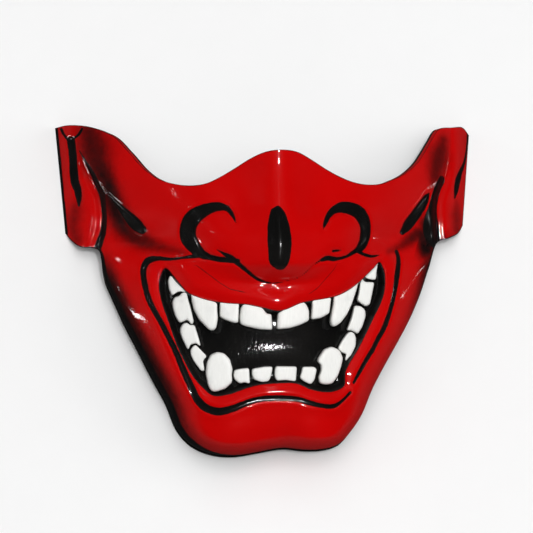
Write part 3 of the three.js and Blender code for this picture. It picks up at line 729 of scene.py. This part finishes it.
def face_grid(across, down, round_rim):
    """Points over the face, columns from ear to ear and rows from brow to rim."""
    row = between_rows(edge_rows, np.linspace(0, len(edge_rows) - 1, across + 1))
    brow = placed(row[:, 0:2])[:, None, :]
    rim = placed(row[:, 2:4])[:, None, :]
    length = np.linalg.norm(brow - rim, axis=2)
    turn = np.minimum(jaw_round, turn_limit * length) / length
    j = np.arange(down + round_rim + 1)
    left = down + round_rim - j
    curved = turn * (1 - np.cos(left / round_rim * math.pi / 2))
    straight = 1 - (1 - turn) * (j / down)
    up = np.where(left <= round_rim, curved, straight)[..., None]
    made = rim + (brow - rim) * up
    return made[..., 0], made[..., 1]


def grid_normals(points):
    """Normals of a grid of points, out of the face."""
    padded = np.pad(points, ((1, 1), (1, 1), (0, 0)), mode="edge")
    across = padded[2:, 1:-1] - padded[:-2, 1:-1]
    down = padded[1:-1, 2:] - padded[1:-1, :-2]
    normals = np.cross(down, across)
    return normals / np.linalg.norm(normals, axis=2, keepdims=True)


def inner_points(x, h):
    """Inner side of the shell: a softened face, set back by the wall."""
    soft = np.stack([x, h, back_depth(x, h)], axis=2)
    normals = grid_normals(soft)
    away, at = nearest(lower_edge, x, h)
    wrap, _, _ = rim_at(at / edge_steps)
    along = np.maximum(wrap**2, ease(away / (3 * wall)))[..., None]
    direction = (1 - along) * np.array([0, 0, 1.0]) + along * normals
    direction /= np.linalg.norm(direction, axis=2, keepdims=True)
    inner = soft - wall * direction
    inner[..., 2] = np.maximum(inner[..., 2], rest_depth(inner[..., 1]) + rest_clear)
    rim = np.stack([x[:, -1], h[:, -1]], axis=1)
    run = np.vstack([rim[1] - rim[0], rim[2:] - rim[:-2], rim[-1] - rim[-2]])
    run /= np.linalg.norm(run, axis=1, keepdims=True)
    inward = np.stack([-run[:, 1], run[:, 0]], axis=1) * wall
    level = soft[:, -1].copy()
    level[:, :2] += inward
    level[:, 2] += rest_depth(level[:, 1]) - rest_depth(soft[:, -1, 1])
    column_wrap, _, _ = rim_at(np.linspace(0, len(edge_rows) - 1, len(x)))
    share = ease((column_wrap - level_from) / (1 - level_from))[:, None]
    inner[1:-1, -1] += ((level - inner[:, -1]) * share)[1:-1]
    for side, step in ((0, 1), (-1, -1)):
        for k in range(ear_edge_columns):
            share = 1 - k / ear_edge_columns
            column = side + step * k
            pushed = soft[column, :, 0] + step * ear_edge_width * share
            inner[column, :, 0] = pushed * share + inner[column, :, 0] * (1 - share)
            inner[column, :, 1] = soft[column, :, 1]
            low = rest_depth(inner[column, :, 1]) + rest_clear * (1 - share)
            inner[column, :, 2] = low * share + inner[column, :, 2] * (1 - share)
    return inner


def grid_border(shape):
    """Marks the points on the four sides of a grid."""
    side = np.zeros(shape, bool)
    side[0] = side[-1] = side[:, 0] = side[:, -1] = True
    return side.ravel()


def shell_mesh():
    """The shell's points and faces, marks of its border points, and how many are in front."""
    x, h = face_grid(columns, rows_down, rows_round)
    outer = np.stack([x, h, front_depth(x, h)], axis=2)
    bx, bh = x[::2, ::2], h[::2, ::2]
    inner = inner_points(bx, bh)
    across, down = x.shape
    back_down = inner.shape[1]
    offset = across * down

    def front(i, j):
        return i * down + j

    def behind(i, j):
        return offset + i * back_down + j

    faces = []
    i, j = np.meshgrid(np.arange(across - 1), np.arange(down - 1), indexing="ij")
    corners = [front(i, j), front(i, j + 1), front(i + 1, j + 1), front(i + 1, j)]
    faces += np.stack(corners, axis=2).reshape(-1, 4).tolist()
    i, j = np.meshgrid(np.arange(inner.shape[0] - 1), np.arange(back_down - 1), indexing="ij")
    corners = [behind(i, j), behind(i + 1, j), behind(i + 1, j + 1), behind(i, j + 1)]
    faces += np.stack(corners, axis=2).reshape(-1, 4).tolist()
    last_i, last_j = across - 1, down - 1
    back_i, back_j = inner.shape[0] - 1, back_down - 1
    for k in range(back_i):
        a, b, c = 2 * k, 2 * k + 1, 2 * k + 2
        brow = [front(a, 0), front(b, 0), front(c, 0)]
        faces.append(brow + [behind(k + 1, 0), behind(k, 0)])
        rim = [front(c, last_j), front(b, last_j), front(a, last_j)]
        faces.append(rim + [behind(k, back_j), behind(k + 1, back_j)])
    for k in range(back_j):
        a, b, c = 2 * k, 2 * k + 1, 2 * k + 2
        left = [front(0, c), front(0, b), front(0, a)]
        faces.append(left + [behind(0, k), behind(0, k + 1)])
        right = [front(last_i, a), front(last_i, b), front(last_i, c)]
        faces.append(right + [behind(back_i, k + 1), behind(back_i, k)])
    points = np.vstack([outer.reshape(-1, 3), inner.reshape(-1, 3)])
    border = np.concatenate([grid_border((across, down)), grid_border(inner.shape[:2])])
    return points, faces, border, offset


def to_row(points):
    """Points of the face's frame, in millimetres, to the row frame, in metres."""
    c, s = math.cos(rest_lean), math.sin(rest_lean)
    x, h, d = points.T
    return np.stack([x, c * h - s * d, s * h + c * d], axis=1) * millimetre


def make_object(name, points, faces):
    """A smooth-shaded object in the scene."""
    mesh = bpy.data.meshes.new(name)
    mesh.from_pydata(points.tolist(), [], faces)
    mesh.polygons.foreach_set("use_smooth", [True] * len(mesh.polygons))
    mesh.update()
    made = bpy.data.objects.new(name, mesh)
    bpy.context.scene.collection.objects.link(made)
    return made


def set_attribute(obj, name, values):
    """One value for each point of an object, for its material to read."""
    attribute = obj.data.attributes.new(name, "FLOAT", "POINT")
    attribute.data.foreach_set("value", np.asarray(values, np.float32))


shell_points, shell_faces, shell_border, front_count = shell_mesh()
placed_shell = to_row(shell_points)
own_low, own_high = placed_shell.min(axis=0), placed_shell.max(axis=0)
cad_shell_low, cad_shell_high = (np.array(corner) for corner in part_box("shell"))
fit_scale = np.minimum(1, (cad_shell_high - cad_shell_low) / (own_high - own_low))
fit_shift = cad_shell_high - own_high * fit_scale


def fitted(points):
    """Points of the face's frame in the row frame, held inside the part's box."""
    return to_row(points) * fit_scale + fit_shift


shell = make_object("mask_shell", fitted(shell_points), shell_faces)
edge_ends = np.zeros(len(shell.data.edges) * 2, int)
shell.data.edges.foreach_get("vertices", edge_ends)
edge_ends = edge_ends.reshape(-1, 2)
same_side = (edge_ends[:, 0] < front_count) == (edge_ends[:, 1] < front_count)
sharp = shell_border[edge_ends].all(axis=1) & same_side
sharp_attribute = shell.data.attributes.new("sharp_edge", "BOOLEAN", "EDGE")
sharp_attribute.data.foreach_set("value", sharp)

# Paint, as distances on the outer side, and painted shade as shares
fx, fh = shell_points[:front_count, 0], shell_points[:front_count, 1]
behind_count = len(shell_points) - front_count
far = np.full(behind_count, no_paint_near)
none = np.zeros(behind_count)
paint = loop_distance(tear, fx, fh)
for line in grooves + lines:
    paint = np.minimum(paint, stroke_distance(line, fx, fh))
left_border = nearest(left_ear_edge, fx, fh)[0] - left_border_width
right_border = nearest(right_ear_edge, fx, fh)[0] - right_border_width
paint = np.minimum(paint, np.minimum(left_border, right_border))
jaw_away, jaw_at = nearest(lower_edge, fx, fh)
jaw_at = jaw_at / edge_steps
jaw_width = np.interp(jaw_at, jaw_rows[:, 0], jaw_rows[:, 1])
paint = np.minimum(paint, jaw_away - jaw_width)
brow_away, _ = nearest(upper_edge, fx, fh)
paint = np.minimum(paint, brow_away - brow_border_width)
in_mouth = loop_distance(mouth, fx, fh)
# Painted shade: sprayed dark paint together with the shade of surfaces turned from the light,
# worked into the colour
shade = np.zeros(front_count)
for line in sprays_and_shade:
    away, at = nearest(line, fx, fh)
    soft = bell(away, value_along(line, at, 2) * spray_and_shade_spread)
    shade = np.maximum(shade, soft * value_along(line, at, 3))
# Painted shade: sprayed dark paint and the shade of the rim turning from the light, strongest on
# the left jaw
jaw_spray_and_shade = np.interp(jaw_at, jaw_rows[:, 0], jaw_rows[:, 2])
from_jaw = np.maximum(jaw_away - jaw_width, 0)
shade = np.maximum(shade, jaw_spray_and_shade * bell(from_jaw, jaw_spray_and_shade_width))
# Painted shade: the lip's creases get a dark line for the shade in them
crease = placed(crease_rows)
crease_from = fh - np.interp(fx, crease[:, 0], crease[:, 1])
crease_seen = np.zeros(front_count)
for first, last in crease_ends:
    span = (fx - crease[first, 0]) / (crease[last, 0] - crease[first, 0])
    fade_in = ease(span * crease_fade + 0.5)
    fade_out = ease((1 - span) * crease_fade + 0.5)
    crease_seen = np.maximum(crease_seen, fade_in * fade_out)
set_attribute(shell, "paint", np.concatenate([paint, far]))
set_attribute(shell, "mouth", np.concatenate([in_mouth, far]))
set_attribute(shell, "shade", np.concatenate([shade, none]))
set_attribute(shell, "crease", np.concatenate([crease_from, far]))
set_attribute(shell, "crease_seen", np.concatenate([crease_seen, none]))
set_attribute(shell, "inner", np.concatenate([np.zeros(front_count), np.ones(behind_count)]))


def rounded_corners(points):
    """A polygon with its corners rounded, as a row of short steps."""
    line = []
    ones_before = np.roll(points, 1, axis=0)
    ones_after = np.roll(points, -1, axis=0)
    for before, corner, after in zip(ones_before, points, ones_after):
        start = before - corner
        end = after - corner
        start *= min(tooth_round / np.linalg.norm(start), 0.5)
        end *= min(tooth_round / np.linalg.norm(end), 0.5)
        for f in np.linspace(0, 1, corner_steps):
            line.append(corner + start * (1 - f) ** 2 + end * f**2)
    return np.array(line)


def tooth_outline(corners):
    """Even points round a tooth, kept off the mouth's edge."""
    line = rounded_corners(placed(corners))
    ends = np.vstack([line, line[:1]])
    length = np.concatenate([[0], np.cumsum(np.linalg.norm(np.diff(ends, axis=0), axis=1))])
    at = np.linspace(0, length[-1], tooth_sides + 1)[:-1]
    made = np.stack([np.interp(at, length, ends[:, 0]), np.interp(at, length, ends[:, 1])], axis=1)
    following = np.roll(made, -1, axis=0)
    run = following - np.roll(made, 1, axis=0)
    outward = np.stack([run[:, 1], -run[:, 0]], axis=1)
    outward /= np.linalg.norm(outward, axis=1, keepdims=True)
    turn = np.sign(np.sum(made[:, 0] * following[:, 1] - following[:, 0] * made[:, 1]))
    made = made + outward * turn * tooth_swell
    away, along = nearest(mouth, made[:, 0], made[:, 1])
    within = inside(mouth, made[:, 0], made[:, 1])
    lip = np.stack([value_along(mouth, along, 0), value_along(mouth, along, 1)], axis=1)
    inward = np.where(within[:, None], made - lip, lip - made)
    inward /= np.maximum(np.linalg.norm(inward, axis=1, keepdims=True), 1e-6)
    outside = ~(within & (away > lip_gap))
    made[outside] = (lip + inward * lip_gap)[outside]
    return made


def tooth_mesh(corners, proud):
    """A tooth in rings from its outline inwards, in front and behind, off the mouth's floor."""
    outline = tooth_outline(corners)
    centre = outline.mean(axis=0)

    def form(p):
        return main_form(p[:, 0], p[:, 1])

    middle = centre[None, :]
    level = form(middle)[0] + broad_relief(middle[:, 0], middle[:, 1])[0]
    crest = level - tooth_set + proud * tooth_proud
    rings = []
    shares = []
    for k in range(tooth_rings):
        share = math.cos(k / tooth_rings * math.pi / 2) ** 0.5
        rings.append(centre + (outline - centre) * share)
        shares += [share] * tooth_sides
    rings.append(middle)
    shares.append(0)
    flat = np.vstack(rings)
    back = front_depth(flat[:, 0], flat[:, 1]) + tooth_gap
    top = crest + form(flat) - form(middle)[0]
    domed = (1 - np.array(shares) ** tooth_flat) ** (1 / tooth_flat)
    face = np.maximum(back + (top - back) * domed, back)
    lift = np.minimum(back, face - tooth_thinnest * domed)
    points = np.vstack([
        np.column_stack([flat, face]),
        np.column_stack([flat, lift])[tooth_sides:],
    ])
    n = tooth_sides
    faces = []
    low = len(flat) - n
    for ring in range(tooth_rings):
        for k in range(n):
            after = (k + 1) % n
            a, b = ring * n + k, ring * n + after
            if ring + 1 < tooth_rings:
                c, e = (ring + 1) * n + after, (ring + 1) * n + k
                faces.append([a, b, c, e])
                d0 = a if ring == 0 else low + a
                d1 = b if ring == 0 else low + b
                faces.append([d1, d0, low + e, low + c])
            else:
                faces.append([a, b, len(flat) - 1])
                faces.append([low + b, low + a, len(points) - 1])
    return points, faces


teeth = []
for name, (proud, *corners) in tooth_corners.items():
    points, faces = tooth_mesh(corners, proud)
    teeth.append((make_object("tooth_" + name, fitted(points), faces), name))


# Materials
def add(tree, kind, inputs=None, **settings):
    """A shader node, with its inputs linked or set."""
    made = tree.nodes.new("ShaderNode" + kind)
    for key, value in settings.items():
        setattr(made, key, value)
    for key, value in (inputs or {}).items():
        if isinstance(value, bpy.types.NodeSocket):
            tree.links.new(value, made.inputs[key])
        else:
            made.inputs[key].default_value = value
    return made


def attribute(tree, name):
    return add(tree, "Attribute", attribute_name=name).outputs["Fac"]


def math_node(tree, operation, a, b=0.0, c=0.0):
    return add(tree, "Math", {0: a, 1: b, 2: c}, operation=operation).outputs[0]


def step(tree, value, start, end):
    inputs = {"Value": value, "From Min": start, "From Max": end, "To Min": 0.0, "To Max": 1.0}
    return add(tree, "MapRange", inputs, interpolation_type="SMOOTHSTEP").outputs["Result"]


def mixed(tree, share, a, b):
    return add(tree, "Mix", {0: share, 6: a, 7: b}, data_type="RGBA").outputs[2]


def mixed_value(tree, share, a, b):
    return add(tree, "Mix", {0: share, 2: a, 3: b}, data_type="FLOAT").outputs[0]


def noise(tree, coordinates, scale, detail=2.0, roughness=0.5):
    inputs = {"Vector": coordinates, "Scale": scale, "Detail": detail, "Roughness": roughness}
    return add(tree, "TexNoise", inputs).outputs["Fac"]


def new_material(name):
    material = bpy.data.materials.new(name)
    material.use_nodes = True
    tree = material.node_tree
    tree.nodes.clear()
    surface = add(tree, "BsdfPrincipled")
    output = add(tree, "OutputMaterial")
    tree.links.new(surface.outputs[0], output.inputs["Surface"])
    return material, tree, surface


def black_paint_and_crease_shade(tree, wobble):
    """Shares of the black paint with the painted shade of the lip's creases, and of the mouth's
    paint alone.
    """
    paint_edge = math_node(tree, "MULTIPLY_ADD", wobble, 0.5, attribute(tree, "paint"))
    stroke = step(tree, paint_edge, 0.16, -0.16)
    mouth_edge = math_node(tree, "MULTIPLY_ADD", wobble, 0.4, attribute(tree, "mouth"))
    in_mouth_paint = step(tree, mouth_edge, 0.12, -0.2)
    # Painted shade: a dark line along each lip crease, three quarters black
    crease_shade = math_node(tree, "ABSOLUTE", attribute(tree, "crease"))
    crease_shade = math_node(tree, "MULTIPLY_ADD", wobble, 0.3, crease_shade)
    crease_shade = step(tree, crease_shade, 0.35, 0.05)
    crease_shade = math_node(tree, "MULTIPLY", crease_shade, attribute(tree, "crease_seen"))
    crease_shade = math_node(tree, "MULTIPLY", crease_shade, 0.75)
    dark = math_node(tree, "MAXIMUM", stroke, in_mouth_paint)
    return math_node(tree, "MAXIMUM", dark, crease_shade), in_mouth_paint


def outer_colour(tree, coordinates, wobble, dark):
    """Red with sprayed dark paint and painted shade, and black where the paint is dark."""
    # Painted shade: the shade share darkens the red to deep red and then black, for sprayed paint
    # and for surfaces turned from the light
    spray_and_shade = math_node(tree, "MULTIPLY_ADD", wobble, 0.25, attribute(tree, "shade"))
    deep_spray_and_shade = step(tree, spray_and_shade, 0.0, 0.75)
    black_spray_and_shade = step(tree, spray_and_shade, 0.45, 1.05)
    mottle = step(tree, noise(tree, coordinates, 38.0, 3.0), 0.3, 0.7)
    sprayed_and_shaded = mixed(tree, deep_spray_and_shade, mixed(tree, mottle, dull_red, red), spray_and_shade_red)
    sprayed_and_shaded = mixed(tree, black_spray_and_shade, sprayed_and_shaded, black)
    return mixed(tree, dark, sprayed_and_shaded, mixed(tree, mottle, black, dull_black))


def paint_normal(tree, coordinates, dark, in_mouth_paint):
    """Normal with the paint's fine texture, coarser on the brushed floor of the mouth."""
    peel = noise(tree, coordinates, 900.0, 2.0)
    grain = noise(tree, coordinates, 2600.0, 1.0)
    speck = step(tree, grain, 0.74, 0.8)
    stroke_way = {"Vector": coordinates, "Scale": (900.0, 260.0, 260.0), "Rotation": (0, 0, 0.7)}
    strokes = add(tree, "Mapping", stroke_way)
    brush = noise(tree, strokes.outputs[0], 1.0, 3.0, 0.6)
    relief = math_node(tree, "MULTIPLY_ADD", speck, 2.5, peel)
    relief = math_node(tree, "MULTIPLY_ADD", dark, 0.8, relief)
    brushed_floor = math_node(tree, "MULTIPLY", brush, in_mouth_paint)
    relief = math_node(tree, "MULTIPLY_ADD", brushed_floor, 5, relief)
    bump = add(tree, "Bump", {"Strength": 0.5, "Distance": 0.00005, "Height": relief})
    return bump.outputs[0]


def coat_normal(tree, normal):
    """A normal drawn to the face's own axis by gloss_draw."""
    kept_share = {0: normal, "Scale": 1 - gloss_draw}
    drawn = add(tree, "VectorMath", kept_share, operation="SCALE")
    axis = (0, -gloss_draw * math.sin(rest_lean), gloss_draw * math.cos(rest_lean))
    drawn = add(tree, "VectorMath", {0: drawn.outputs[0], 1: axis}, operation="ADD")
    drawn = add(tree, "VectorMath", {0: drawn.outputs[0]}, operation="NORMALIZE")
    return drawn.outputs[0]


def shell_material():
    """Red gloss paint with black lines outside, matt black inside."""
    material, tree, surface = new_material("red_gloss_paint")
    coordinates = add(tree, "TexCoord").outputs["Object"]
    wobble = math_node(tree, "SUBTRACT", noise(tree, coordinates, 420.0, 3.0), 0.5)
    dark, in_mouth_paint = black_paint_and_crease_shade(tree, wobble)
    inner_share = step(tree, attribute(tree, "inner"), 0.45, 0.55)
    brushed = noise(tree, coordinates, 160.0, 4.0, 0.65)
    outside = outer_colour(tree, coordinates, wobble, dark)
    colour = mixed(tree, inner_share, outside, mixed(tree, brushed, inner_black, inner_grey))
    tree.links.new(colour, surface.inputs["Base Color"])
    rough = mixed_value(tree, brushed, 0.3, 0.38)
    rough = mixed_value(tree, inner_share, rough, 0.7)
    tree.links.new(rough, surface.inputs["Roughness"])
    coat = math_node(tree, "SUBTRACT", 1.0, inner_share)
    tree.links.new(coat, surface.inputs["Coat Weight"])
    coat_rough = mixed_value(tree, dark, 0.045, 0.13)
    coat_rough = mixed_value(tree, in_mouth_paint, coat_rough, 0.075)
    tree.links.new(coat_rough, surface.inputs["Coat Roughness"])
    surface.inputs["Specular IOR Level"].default_value = 0.08
    normal = paint_normal(tree, coordinates, dark, in_mouth_paint)
    tree.links.new(normal, surface.inputs["Normal"])
    tree.links.new(coat_normal(tree, normal), surface.inputs["Coat Normal"])
    return material


def tooth_material():
    """White paint, brushed, with faint grey stains."""
    material, tree, surface = new_material("white_tooth_paint")
    coordinates = add(tree, "TexCoord").outputs["Object"]
    stretched = add(tree, "Mapping", {"Vector": coordinates, "Scale": (1400.0, 220.0, 220.0)})
    brush = noise(tree, stretched.outputs[0], 1.0, 3.0, 0.6)
    stain = noise(tree, coordinates, 120.0, 3.0)
    colour = mixed(tree, step(tree, brush, 0.25, 0.75), tooth_dull, tooth_white)
    colour = mixed(tree, step(tree, stain, 0.55, 0.9), colour, tooth_stain)
    tree.links.new(colour, surface.inputs["Base Color"])
    rough = mixed_value(tree, brush, 0.3, 0.5)
    tree.links.new(rough, surface.inputs["Roughness"])
    bump = add(tree, "Bump", {"Strength": 0.25, "Distance": 0.00006, "Height": brush})
    tree.links.new(bump.outputs[0], surface.inputs["Normal"])
    return material


shell.data.materials.append(shell_material())
white = tooth_material()
for tooth, name in teeth:
    tooth.data.materials.append(white)
    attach(tooth, "root")
    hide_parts(name)
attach(shell, "root")
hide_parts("shell")

# Floor
floor_mesh = bpy.data.meshes.new("floor")
floor_ways = ((-1, -1), (1, -1), (1, 1), (-1, 1))
floor_corners = [(x * floor_reach, y * floor_reach, 0) for x, y in floor_ways]
floor_mesh.from_pydata(floor_corners, [], [(0, 1, 2, 3)])
floor = bpy.data.objects.new("floor", floor_mesh)
bpy.context.scene.collection.objects.link(floor)
floor_material, floor_tree, floor_surface = new_material("pale_paper")
floor_coordinates = add(floor_tree, "TexCoord").outputs["Object"]
floor_noise = noise(floor_tree, floor_coordinates, 60.0, 4.0)
floor_colour = mixed(floor_tree, floor_noise, floor_grey, floor_white)
floor_tree.links.new(floor_colour, floor_surface.inputs["Base Color"])
floor_surface.inputs["Roughness"].default_value = 0.9
floor.data.materials.append(floor_material)
floor.visible_glossy = False

# Camera, at the photograph's angle to the face
face_shift = Vector(fitted(np.zeros((1, 3)))[0])
lean = Matrix.Rotation(rest_lean, 4, "X")
back = Vector((-math.sin(camera_turn), 0, math.cos(camera_turn)))
right = Vector((math.cos(camera_turn), 0, math.sin(camera_turn)))
up = Vector((0, 1, 0))
face_to_row = Matrix.Translation(face_shift) @ lean


def face_point(x, h, d):
    """A point of the face's frame, in millimetres, in the row frame."""
    return face_to_row @ (Vector((x, h, d)) * millimetre)


camera_data = bpy.data.cameras.new("camera")
camera_data.lens = camera_lens
camera_data.sensor_width = 36
camera_data.clip_start = 0.1
camera_data.clip_end = 50
camera = bpy.data.objects.new("camera", camera_data)
bpy.context.scene.collection.objects.link(camera)
axes = Matrix((right, up, back)).transposed().to_4x4()
eye = back * camera_distance + right * camera_aside
camera.matrix_world = face_to_row @ Matrix.Translation(eye) @ axes
bpy.context.scene.camera = camera

# Lights
target = face_point(0, 0, light_target_depth)
for name, bearing, angle, distance, width, length, power, seen in light_rows:
    data = bpy.data.lights.new(name, "AREA")
    data.shape = "RECTANGLE"
    data.size = width
    data.size_y = length
    data.energy = power
    made = bpy.data.objects.new(name, data)
    bearing = math.radians(bearing)
    angle = math.radians(angle)
    aside = math.sin(angle)
    away = Vector((math.sin(bearing) * aside, math.cos(bearing) * aside, math.cos(angle)))
    away = lean.to_3x3() @ away
    made.location = target + away * distance
    made.rotation_mode = "QUATERNION"
    made.rotation_quaternion = away.to_track_quat("Z", "Y")
    made.visible_glossy = seen
    bpy.context.scene.collection.objects.link(made)

# White surroundings
world = bpy.data.worlds.new("studio")
bpy.context.scene.world = world
world.use_nodes = True
world_tree = world.node_tree
world_tree.nodes.clear()
seen_by_camera = add(world_tree, "LightPath").outputs["Is Camera Ray"]
strength = mixed_value(world_tree, seen_by_camera, world_light, world_seen)
background = add(world_tree, "Background", {"Color": (1, 1, 1, 1), "Strength": strength})
world_output = add(world_tree, "OutputWorld")
world_tree.links.new(background.outputs[0], world_output.inputs["Surface"])

bpy.context.scene.view_settings.view_transform = "Standard"
